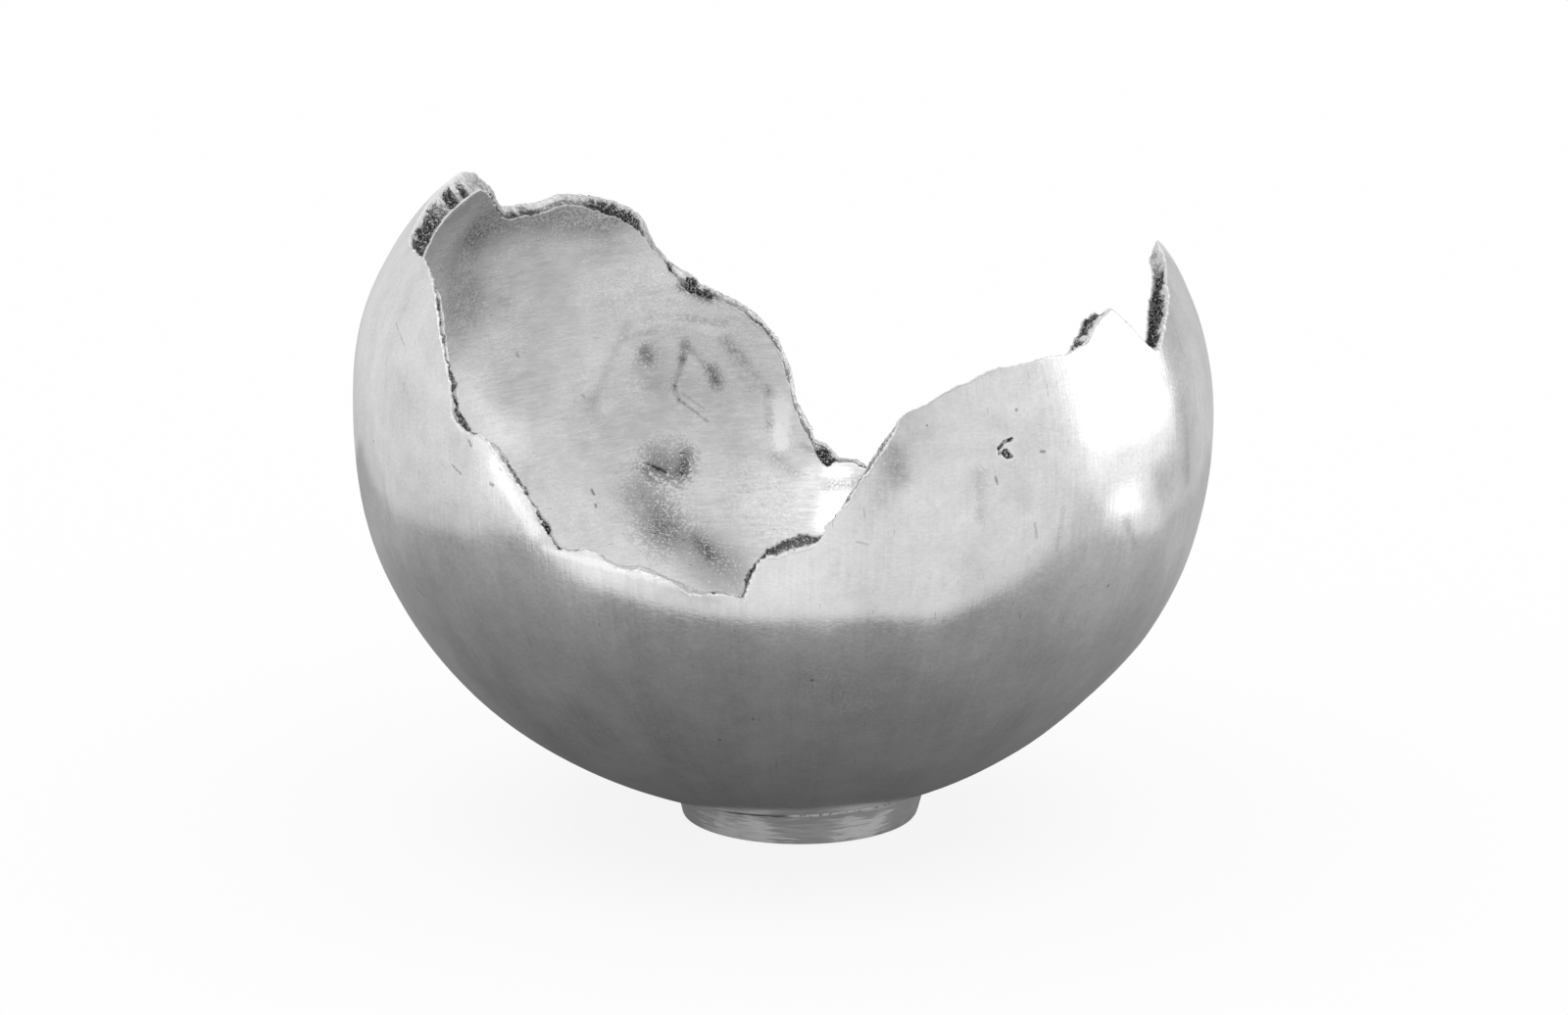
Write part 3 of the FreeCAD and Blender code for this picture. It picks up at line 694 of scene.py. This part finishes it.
def build_foot():
    """Closed tapered ring: outer cone, flat underside, bore, top sunk 1 mm into the shell."""
    n = 480
    phi = np.linspace(0, 2 * math.pi, n, endpoint=False)
    c, s = np.cos(phi), np.sin(phi)

    def shell_z(r):
        xx, yy = FOOT_X + r * c, r * s
        zz = np.full(n, 15.0)
        for _ in range(12):
            rr = np.hypot(xx, yy)
            az = np.degrees(np.arctan2(xx, -yy))
            lat = np.degrees(np.arctan2(zz - ZC, rr))
            R = r_out(az, lat)
            zz = ZC - np.sqrt(np.maximum(R ** 2 - rr ** 2, 0))
        return zz

    rings = []

    def ring(r, z):
        rings.append(np.stack([FOOT_X + r * c, r * s, z + 0 * c], 1))

    wob = 0.25 * np.sin(3 * phi + 1) + 0.2 * np.sin(7 * phi + 2) + 0.12 * np.sin(13 * phi)
    r_top = np.full(n, FOOT_R + 8.0)
    for _ in range(6):
        z_top = shell_z(r_top)
        r_top = FOOT_R + (z_top - FOOT_Z) * math.tan(FOOT_TAPER)
    # bore, from the shell down
    zb = shell_z(np.full(n, FOOT_BORE))
    ring(FOOT_BORE, zb + 1.0)
    for t in (0.8, 0.6, 0.4, 0.2):
        ring(FOOT_BORE + 0 * phi, FOOT_Z + 1.2 + (zb + 1 - FOOT_Z - 1.2) * t)
    ring(FOOT_BORE + 0 * phi, FOOT_Z + 1.2 + 0 * phi)
    ring(FOOT_BORE + 0.35 + 0 * phi, FOOT_Z + 0.35 + 0 * phi)
    for rr in np.linspace(FOOT_BORE + 1.2, FOOT_R - 1.3, 20):
        dz = np.zeros(n)
        for kk in range(4):
            ang = math.radians(45 + 90 * kk)
            dd = np.hypot(rr * c - 68.5 * math.cos(ang), rr * s - 68.5 * math.sin(ang))
            dz = np.maximum(dz, 1.0 - sstep(6.9, 7.9, dd))
        ring(rr + 0 * phi, FOOT_Z + dz)
    ring(FOOT_R - 0.35 + 0 * phi, FOOT_Z + 0.25 + 0 * phi)
    ring(FOOT_R + 0.25 + wob * 0.5, FOOT_Z + 1.1 + 0 * phi)
    for t in (0.1, 0.2, 0.3, 0.4, 0.5, 0.6, 0.7, 0.8, 0.9, 1.0):
        z = FOOT_Z + 1.1 + (z_top + 1.0 - FOOT_Z - 1.1) * t
        ring(FOOT_R + (z - FOOT_Z) * math.tan(FOOT_TAPER) + wob, z)
    for t in (0.2, 0.4, 0.6, 0.8):
        rr = FOOT_R + (z_top - FOOT_Z) * math.tan(FOOT_TAPER)
        rr = rr + (FOOT_BORE - rr) * t
        ring(rr, shell_z(rr) + 1.0)
    faces = []
    m = len(rings)
    for a in range(m):
        b = (a + 1) % m
        for i in range(n):
            j = (i + 1) % n
            faces.append((b * n + i, a * n + i, a * n + j, b * n + j))
    return np.concatenate(rings) / 1000.0, [f[::-1] for f in faces], (phi, r_top, z_top)


def build_bead(phi, r_top, z_top):
    """A hand-run bead of bonding filler along the corner of shell and foot."""
    n, m = len(phi), 14
    c, s = np.cos(phi), np.sin(phi)
    centre = np.stack([FOOT_X + (r_top + 0.9) * c, (r_top + 0.9) * s, z_top - 0.1], 1)
    out = np.stack([c, s, 0 * c], 1)
    lump = vnoise(centre, 9.0, 81) * 0.35 + vnoise(centre, 4.0, 82) * 0.22
    # fuller on the front right, thin on the left
    side = 0.5 + 0.5 * np.cos(phi - math.radians(-50))
    rad = 1.15 + 0.45 * side ** 1.5 + lump * (0.5 + 0.5 * side)
    rad = np.maximum(rad, 0.6)
    rings = []
    for k in range(m):
        a = 2 * math.pi * k / m
        rings.append(centre + out * (rad * math.cos(a))[:, None] * 0.9 + np.array([0, 0, 1.0]) * (rad * math.sin(a))[:, None] * 0.8)
    faces = []
    for k in range(m):
        b = (k + 1) % m
        for i in range(n):
            j = (i + 1) % n
            faces.append((k * n + i, k * n + j, b * n + j, b * n + i))
    return np.concatenate(rings) / 1000.0, faces


def build_pads():
    """Four felt discs with soft, slightly furry edges."""
    co, faces = [], []
    prof = [(0.0, 0.0), (2.2, 0.0), (4.4, 0.0), (6.1, 0.02), (6.7, 0.16), (6.95, 0.5), (7.0, 1.0), (6.9, 1.6), (6.6, 1.9), (6.0, 2.0), (3.5, 2.0), (0.0, 2.0)]
    n = 56
    for kk in range(4):
        ang = math.radians(45 + 90 * kk)
        cx, cy = FOOT_X + 68.5 * math.cos(ang), 68.5 * math.sin(ang)
        start = len(co)
        for pi_, (pr, pz) in enumerate(prof):
            if pr == 0.0:
                co.append((cx, cy, pz))
                continue
            for i in range(n):
                t = 2 * math.pi * i / n
                q = np.array([cx + pr * math.cos(t), cy + pr * math.sin(t), pz])
                rr = pr + (0.10 * float(vnoise(q, 1.1, 91)) + 0.08 * float(vnoise(q, 3.0, 92))) * (pr > 6)
                co.append((cx + rr * math.cos(t), cy + rr * math.sin(t), pz))
        ids = [start]
        rows = []
        pos_ = start + 1
        for pr, pz in prof[1:-1]:
            rows.append(pos_)
            pos_ += n
        last = pos_
        for i in range(n):
            j = (i + 1) % n
            faces.append((start, rows[0] + j, rows[0] + i))
            for a, b in zip(rows, rows[1:]):
                faces.append((a + i, a + j, b + j, b + i))
            faces.append((rows[-1] + i, rows[-1] + j, last))
    return np.array(co) / 1000.0, faces


def felt():
    m = Nodes("felt_dark")
    P = m.mm()
    fib = m.noise(P, 1.6, 4.0, 0.75, 1.5)
    tone = m.noise(P, 0.25, 2.0, 0.5)
    g = m.math("ADD", 0.055, m.math("ADD", m.math("MULTIPLY", m.math("SUBTRACT", fib, 0.5), 0.07), m.math("MULTIPLY", m.math("SUBTRACT", tone, 0.5), 0.03)))
    rough = m.math("ADD", 0.92, m.math("MULTIPLY", m.math("SUBTRACT", fib, 0.5), 0.1))
    return m.principled(m.grey(g), rough, 0.0, m.bump(fib, 0.0003), **{"Sheen Weight": 0.3})


def silver_foot():
    m = Nodes("silver_leaf_foot")
    P = m.mm()
    x, y, z = m.sep(P)
    ring = m.comb(m.math("MULTIPLY", x, 0.06), m.math("MULTIPLY", y, 0.06), z)
    nr = m.noise(ring, 0.8, 3.0, 0.6)
    mott = m.noise(P, 0.06, 4.0, 0.55)
    grey = m.math("ADD", 0.80, m.math("ADD", m.math("MULTIPLY", m.math("SUBTRACT", mott, 0.5), 0.3), m.math("MULTIPLY", m.math("SUBTRACT", nr, 0.5), 0.3)))
    fleck = m.ramp(m.noise(ring, 1.0, 1.0, 0.5), 0.70, 0.78)
    grey = m.math("SUBTRACT", grey, m.math("MULTIPLY", fleck, 0.25))
    rough = m.math("ADD", 0.48, m.math("MULTIPLY", m.math("SUBTRACT", mott, 0.5), 0.16))
    # painted highlights on the front of the foot: soft patches made lighter and less metallic
    wob = m.math("MULTIPLY_ADD", m.math("SUBTRACT", nr, 0.5), -5.0, m.math("MULTIPLY_ADD", m.math("SUBTRACT", mott, 0.5), -3.0, 1.39))
    foot_painted_highlight = stroke(m, P, (-40, -62, 6), (-18, -74, 6), 19, wob, 0.8, 0.0)
    foot_painted_highlight = stroke(m, P, (44, -71, 9), (58, -64, 10), 14, wob, 1.0, foot_painted_highlight)
    foot_painted_highlight = stroke(m, P, (-12, -77, 10), (28, -78, 10), 12, wob, 0.35, foot_painted_highlight)
    foot_painted_highlight = m.math("MINIMUM", foot_painted_highlight, 1.0)
    metal = m.math("MULTIPLY_ADD", foot_painted_highlight, -0.58, 0.78)
    grey = m.math("MINIMUM", m.math("MULTIPLY_ADD", foot_painted_highlight, 0.16, grey), 1.0)
    return m.principled(m.grey(grey), rough, metal, m.bump(nr, 0.00012))


def silver_bead():
    """Dark, with a painted highlight on the front right, where it is lighter and less metallic."""
    m = Nodes("silver_leaf_bead")
    P = m.mm()
    x, y, z = m.sep(P)
    n = m.noise(P, 0.22, 3.0, 0.7)
    side = m.math("MULTIPLY", m.ramp(x, -4.0, 8.0), m.ramp(y, -30.0, -45.0))
    bead_painted_highlight = m.math("MULTIPLY", side, m.ramp(n, 0.36, 0.46))
    grey = m.math("MULTIPLY_ADD", bead_painted_highlight, 0.62, m.math("MULTIPLY_ADD", n, 0.3, 0.10))
    metal = m.math("MULTIPLY_ADD", bead_painted_highlight, -0.55, 0.75)
    rough = m.math("MULTIPLY_ADD", n, 0.3, 0.3)
    return m.principled(m.grey(grey), rough, metal, m.bump(m.noise(P, 0.9, 2.0, 0.6), 0.0002))


def carve_pit(ob):
    """The small C-shaped pit: finer mesh round it, then pressed in."""
    me = ob.data
    c = np.array(PIT_AT)
    a0, l0 = math.degrees(math.atan2(c[0], -c[1])), math.degrees(math.atan2(c[2] - ZC, math.hypot(c[0], c[1])))
    right = np.array([math.cos(math.radians(a0)), math.sin(math.radians(a0)), 0.0])
    e = 0.2
    p0 = point(a0, l0, r_out(a0, l0))
    up = point(a0, l0 + e, r_out(a0, l0 + e)) - p0
    up /= np.linalg.norm(up)
    n = np.cross(right, up)
    bm = bmesh.new()
    bm.from_mesh(me)
    mid = [(f, np.array(f.calc_center_median()) * 1000.0) for f in bm.faces]
    near = [f for f, q in mid if np.linalg.norm(q - p0) < 13.0 and abs(np.dot(q - p0, n)) < 4.0]
    edges = list({e_ for f in near for e_ in f.edges})
    bmesh.ops.subdivide_edges(bm, edges=edges, cuts=9, use_grid_fill=True)
    torn = bm.verts.layers.float["torn"]
    inner = bm.verts.layers.float["inside"]
    cav = bm.verts.layers.float["cav"]
    vs = [v for v in bm.verts if np.linalg.norm(np.array(v.co) * 1000.0 - p0) < 16.0 and abs(np.dot(np.array(v.co) * 1000.0 - p0, n)) < 4.0]
    q = np.array([v.co for v in vs]) * 1000.0
    az = np.degrees(np.arctan2(q[:, 0], -q[:, 1]))
    lat = np.degrees(np.arctan2(q[:, 2] - ZC, np.hypot(q[:, 0], q[:, 1])))
    base = point(az, lat, r_out(az, lat))
    h, v_ = (base - p0) @ right, (base - p0) @ up
    d = np.full(len(h), 99.0)
    for (x0, y0), (x1, y1) in PIT_STROKES:
        dx, dy = x1 - x0, y1 - y0
        t = np.clip(((h - x0) * dx + (v_ - y0) * dy) / (dx * dx + dy * dy), 0, 1)
        d = np.minimum(d, np.hypot(h - x0 - t * dx, v_ - y0 - t * dy))
    d = d + 0.45 * vnoise(base, 2.2, 71) + 0.25 * vnoise(base, 1.1, 72)
    deep = (1 - sstep(0.35, 1.9, d)) * (0.9 + 0.5 * vnoise(base, 1.8, 73))
    lip = 0.28 * np.exp(-((d - 2.1) / 0.55) ** 2)
    base = base - n * deep[:, None] + n * lip[:, None]
    for i, v in enumerate(vs):
        v.co = base[i] / 1000.0
        # torn and cav darken the pit in the shell material: bare material with painted shade in its depth
        v[torn] = float(min(1.0, deep[i] * 1.6))
        v[cav] = float(min(0.9, deep[i] * 0.8))
        v[inner] = float(min(0.40, deep[i] * 0.8))
    bm.normal_update()
    for f in bm.faces:
        f.smooth = True
    bm.to_mesh(me)
    bm.free()
    me.update()


co, faces, att = build_shell()
shell = new_mesh("shell", co, faces, {"torn": att[0], "cav": att[1], "inside": att[2]})
carve_pit(shell)
shell.data.materials.append(silver_shell())
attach(shell, "root")
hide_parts("bowl_shell")

fco, ffaces, joint = build_foot()
foot = new_mesh("foot", fco, [tuple(reversed(f)) for f in ffaces])
foot_mat = silver_foot()
foot.data.materials.append(foot_mat)
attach(foot, "root")
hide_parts("foot_ring")

bead = new_mesh("bead", *build_bead(*joint))
bead.data.materials.append(silver_bead())
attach(bead, "root")
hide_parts("bond_bead")

pads = new_mesh("pads", *build_pads())
pads.data.materials.append(felt())
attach(pads, "root")
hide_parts("felt_pads")

# ---- stage -------------------------------------------------------------------------------
def plane(name, corners):
    me = bpy.data.meshes.new(name)
    me.from_pydata(corners, [], [tuple(range(len(corners)))])
    me.update()
    ob = bpy.data.objects.new(name, me)
    bpy.context.scene.collection.objects.link(ob)
    return ob


def card_rays(ob):
    """Only mirrored, never seen or casting light or shade on the floor."""
    ob.visible_camera = False
    ob.visible_diffuse = False
    ob.visible_shadow = False
    ob.visible_transmission = False
    ob.visible_volume_scatter = False


def glow(name, strength):
    m = Nodes(name)
    e = m.t.nodes.new("ShaderNodeEmission")
    m.put(e.inputs["Strength"], strength)
    m.link(e.outputs[0], m.out.inputs[0])
    return m


floor = plane("floor", [(20 * math.cos(t), 20 * math.sin(t), 0) for t in np.linspace(0, 2 * math.pi, 96, endpoint=False)])
fm = Nodes("floor_pale")
lp = fm.t.nodes.new("ShaderNodeLightPath")
dif = fm.t.nodes.new("ShaderNodeBsdfDiffuse")
dif.inputs[0].default_value = (0.9, 0.9, 0.9, 1)
emi = fm.t.nodes.new("ShaderNodeEmission")
fx, fy, fz = fm.sep(fm.mm())
front = fm.math("ADD", 0.60, fm.ramp(fy, -280.0, -440.0, 0.0, 0.23))
front = fm.math("ADD", front, fm.math("MULTIPLY", fm.ramp(fx, 0.0, -500.0), fm.ramp(fy, -300.0, -450.0, 0.0, 0.12)))
front = fm.math("ADD", front, fm.ramp(fx, -600.0, -1400.0, 0.0, 0.14))
gl = lp.outputs["Is Glossy Ray"]
level = fm.math("ADD", fm.math("MULTIPLY", gl, front), fm.math("MULTIPLY", fm.math("SUBTRACT", 1.0, gl), 1.06))
fm.put(emi.inputs["Strength"], level)
add = fm.t.nodes.new("ShaderNodeMixShader")
fm.link(fm.math("MAXIMUM", fm.math("MULTIPLY", lp.outputs["Is Camera Ray"], 0.80), gl), add.inputs[0])
fm.link(dif.outputs[0], add.inputs[1])
fm.link(emi.outputs[0], add.inputs[2])
fm.link(add.outputs[0], fm.out.inputs[0])
floor.data.materials.append(fm.mat)

# dark table top, seen only in reflections, as the lower half mirrors it; dimmest round the foot as a painted shadow of
# the bowl
table = plane("table_card", [(x, y, 0.001) for x, y in (
    (-0.80, -0.39), (-0.45, -0.41), (-0.33, -0.45), (0.05, -0.475), (0.15, -0.45), (0.25, -0.39),
    (0.45, -0.345), (0.60, -0.31), (0.72, -0.24), (0.80, -0.10), (0.76, 0.3), (0.72, 1.0), (-0.80, 1.0))])
tm = glow("table_card_mat", 1.0)
tp = tm.mm()
tr = tm.vmath("LENGTH", tp)
# painted shadow of the bowl: dimmest near the middle, lighter outwards, and lighter again to the right
table_shadow_level = tm.ramp(tr, 60.0, 350.0, 0.085, 0.225, smooth=False)
table_shadow_level = tm.math("ADD", table_shadow_level, tm.ramp(tr, 350.0, 700.0, 0.0, 0.15, smooth=False))
table_shadow_level = tm.math("MULTIPLY", table_shadow_level, tm.ramp(tm.sep(tp)[0], -50.0, 450.0, 1.0, 1.28, smooth=False))
tm.put([n for n in tm.t.nodes if n.type == "EMISSION"][0].inputs["Strength"], table_shadow_level)
table.data.materials.append(tm.mat)
card_rays(table)


def box_card(name, corners, strength):
    ob = plane(name, corners)
    ob.data.materials.append(glow(name + "_mat", strength).mat)
    card_rays(ob)
    return ob


def painted_card(name, corners, paint):
    """A card whose strength is worked out from the place on it (mm)."""
    ob = plane(name, corners)
    m = glow(name + "_mat", 1.0)
    m.link(paint(m, *m.sep(m.mm())), m.t.nodes["Emission"].inputs["Strength"])
    ob.data.materials.append(m.mat)
    card_rays(ob)
    return ob


def right_paint(m, x, y, z):
    core = m.math("MULTIPLY", m.ramp(y, -520.0, -60.0), m.ramp(y, 540.0, 680.0, 1.0, 0.0))
    vert = m.ramp(z, 90.0, 310.0)
    return m.math("ADD", 0.84, m.math("MULTIPLY", core, m.math("MULTIPLY_ADD", vert, 0.85, 0.23)))


painted_card("softbox_right", [(1.4, -0.60, 0.0), (1.4, 0.72, 0.0), (1.4, 0.72, 1.5), (1.4, -0.60, 1.5)], right_paint)


# over the low far right of the rim, so the inside left sees an even tone and not the softbox
def curtain_paint(m, x, y, z):
    az = m.math("MULTIPLY", m.math("ARCTAN2", x, m.math("MULTIPLY", y, -1.0)), 180 / math.pi)
    low = m.ramp(az, 150.0, 173.0, 0.98, 0.30)
    return m.math("ADD", low, m.math("MULTIPLY", m.math("SUBTRACT", 0.74, low), m.ramp(z, 240.0, 310.0)))


ca = np.linspace(100, 164, 33)
cl = cyc(INN, ca)
cp = point(ca, cl, r_in(ca, cl))
foot_line = [(p[0] * 1.022 / 1000, p[1] * 1.022 / 1000, p[2] / 1000 - 0.002) for p in cp]
head_line = [(p[0] * 1.022 / 1000, p[1] * 1.022 / 1000, 0.50) for p in cp]
curtain = new_mesh("curtain", np.array(foot_line + head_line), [(i, i + 1, 34 + i, 33 + i) for i in range(32)])
cm = glow("curtain_mat", 1.0)
cm.link(curtain_paint(cm, *cm.sep(cm.mm())), cm.t.nodes["Emission"].inputs["Strength"])
curtain.data.materials.append(cm.mat)
card_rays(curtain)

box_card("spill_right", [(0.92, -0.09, 0.002), (1.2, -0.09, 0.002), (1.2, 0.11, 0.002), (0.92, 0.11, 0.002)], 1.6)
box_card("spill_right_2", [(0.74, -0.06, 0.0015), (1.4, -0.20, 0.0015), (1.4, 0.30, 0.0015), (0.74, 0.22, 0.0015)], 0.86)
box_card("softbox_front", [(-0.66, -1.1, 1.25), (-0.29, -1.1, 1.25), (-0.29, -1.1, 2.05), (-0.66, -1.1, 2.05)], 3.0)
box_card("strip_front", [(0.02, -1.1, 0.58), (0.10, -1.1, 0.58), (0.10, -1.1, 0.80), (0.02, -1.1, 0.80)], 1.5)

# an even ceiling over the inside, with one bright pane
def ceiling_paint(m, x, y, z):
    v = m.ramp(x, 40.0, 200.0, 0.90, 0.78)
    u = m.math("ADD", m.math("MULTIPLY_ADD", y, -0.281, x), 28.7)
    pane = m.math("MULTIPLY", m.ramp(u, -66.0, -56.0), m.ramp(u, -10.0, 2.0, 1.0, 0.0))
    pane = m.math("MULTIPLY", pane, m.math("MULTIPLY", m.ramp(y, -262.0, -250.0), m.ramp(y, -16.0, 0.0, 1.0, 0.0)))
    return m.math("MULTIPLY_ADD", pane, 0.95, v)


painted_card("ceiling", [(-0.27, -0.30, 0.50), (0.27, -0.30, 0.50), (0.27, 0.28, 0.50), (-0.27, 0.28, 0.50)], ceiling_paint)

world = bpy.data.worlds.new("studio")
bpy.context.scene.world = world
world.use_nodes = True
wt = world.node_tree
wt.nodes.clear()


class World(Nodes):
    def __init__(self):
        self.t = wt


w = World()
wout = wt.nodes.new("ShaderNodeOutputWorld")
bg = wt.nodes.new("ShaderNodeBackground")
wl = wt.nodes.new("ShaderNodeLightPath")
wc = wt.nodes.new("ShaderNodeTexCoord")
dx, dy, dz = w.sep(wc.outputs["Generated"])
# paler to the left, greyer behind on the right
left = w.ramp(dx, 0.2, -0.9, 0.0, 0.18)
back = w.ramp(w.math("MULTIPLY", w.math("ADD", dx, dy), 0.7), 0.2, 0.9, 0.0, -0.12)
near = w.math("MULTIPLY", w.ramp(dx, 0.35, 0.70, 0.0, 0.20), w.ramp(dy, 0.10, -0.15))
near = w.math("MULTIPLY", near, w.math("MULTIPLY", w.ramp(dz, -0.03, 0.03), w.ramp(dz, 0.38, 0.52, 1.0, 0.0)))
env = w.math("ADD", w.math("ADD", 0.82, near), w.math("ADD", left, back))
val = w.math("ADD", w.math("MULTIPLY", env, wl.outputs["Is Glossy Ray"]), w.math("MULTIPLY", 1.03, w.math("SUBTRACT", 1.0, wl.outputs["Is Glossy Ray"])))
val = w.math("MULTIPLY_ADD", wl.outputs["Is Camera Ray"], 0.30, val)
w.link(val, bg.inputs["Strength"])
w.link(bg.outputs[0], wout.inputs[0])

# ---- camera ----------------------------------------------------------------------------------
cam_data = bpy.data.cameras.new("camera")
cam = bpy.data.objects.new("camera", cam_data)
bpy.context.scene.collection.objects.link(cam)
el, dist, zt = math.radians(13.5), 2.8, 0.2079
cam.location = (0, -dist * math.cos(el), zt + dist * math.sin(el))
cam.rotation_euler = (math.radians(90 - 13.5), 0, 0)
cam_data.sensor_width = 36.0
cam_data.lens = 4347 / 1600 * 36.0
cam_data.clip_start = 0.05
cam_data.clip_end = 100.0
bpy.context.scene.camera = cam
bpy.context.scene.view_settings.view_transform = "Standard"
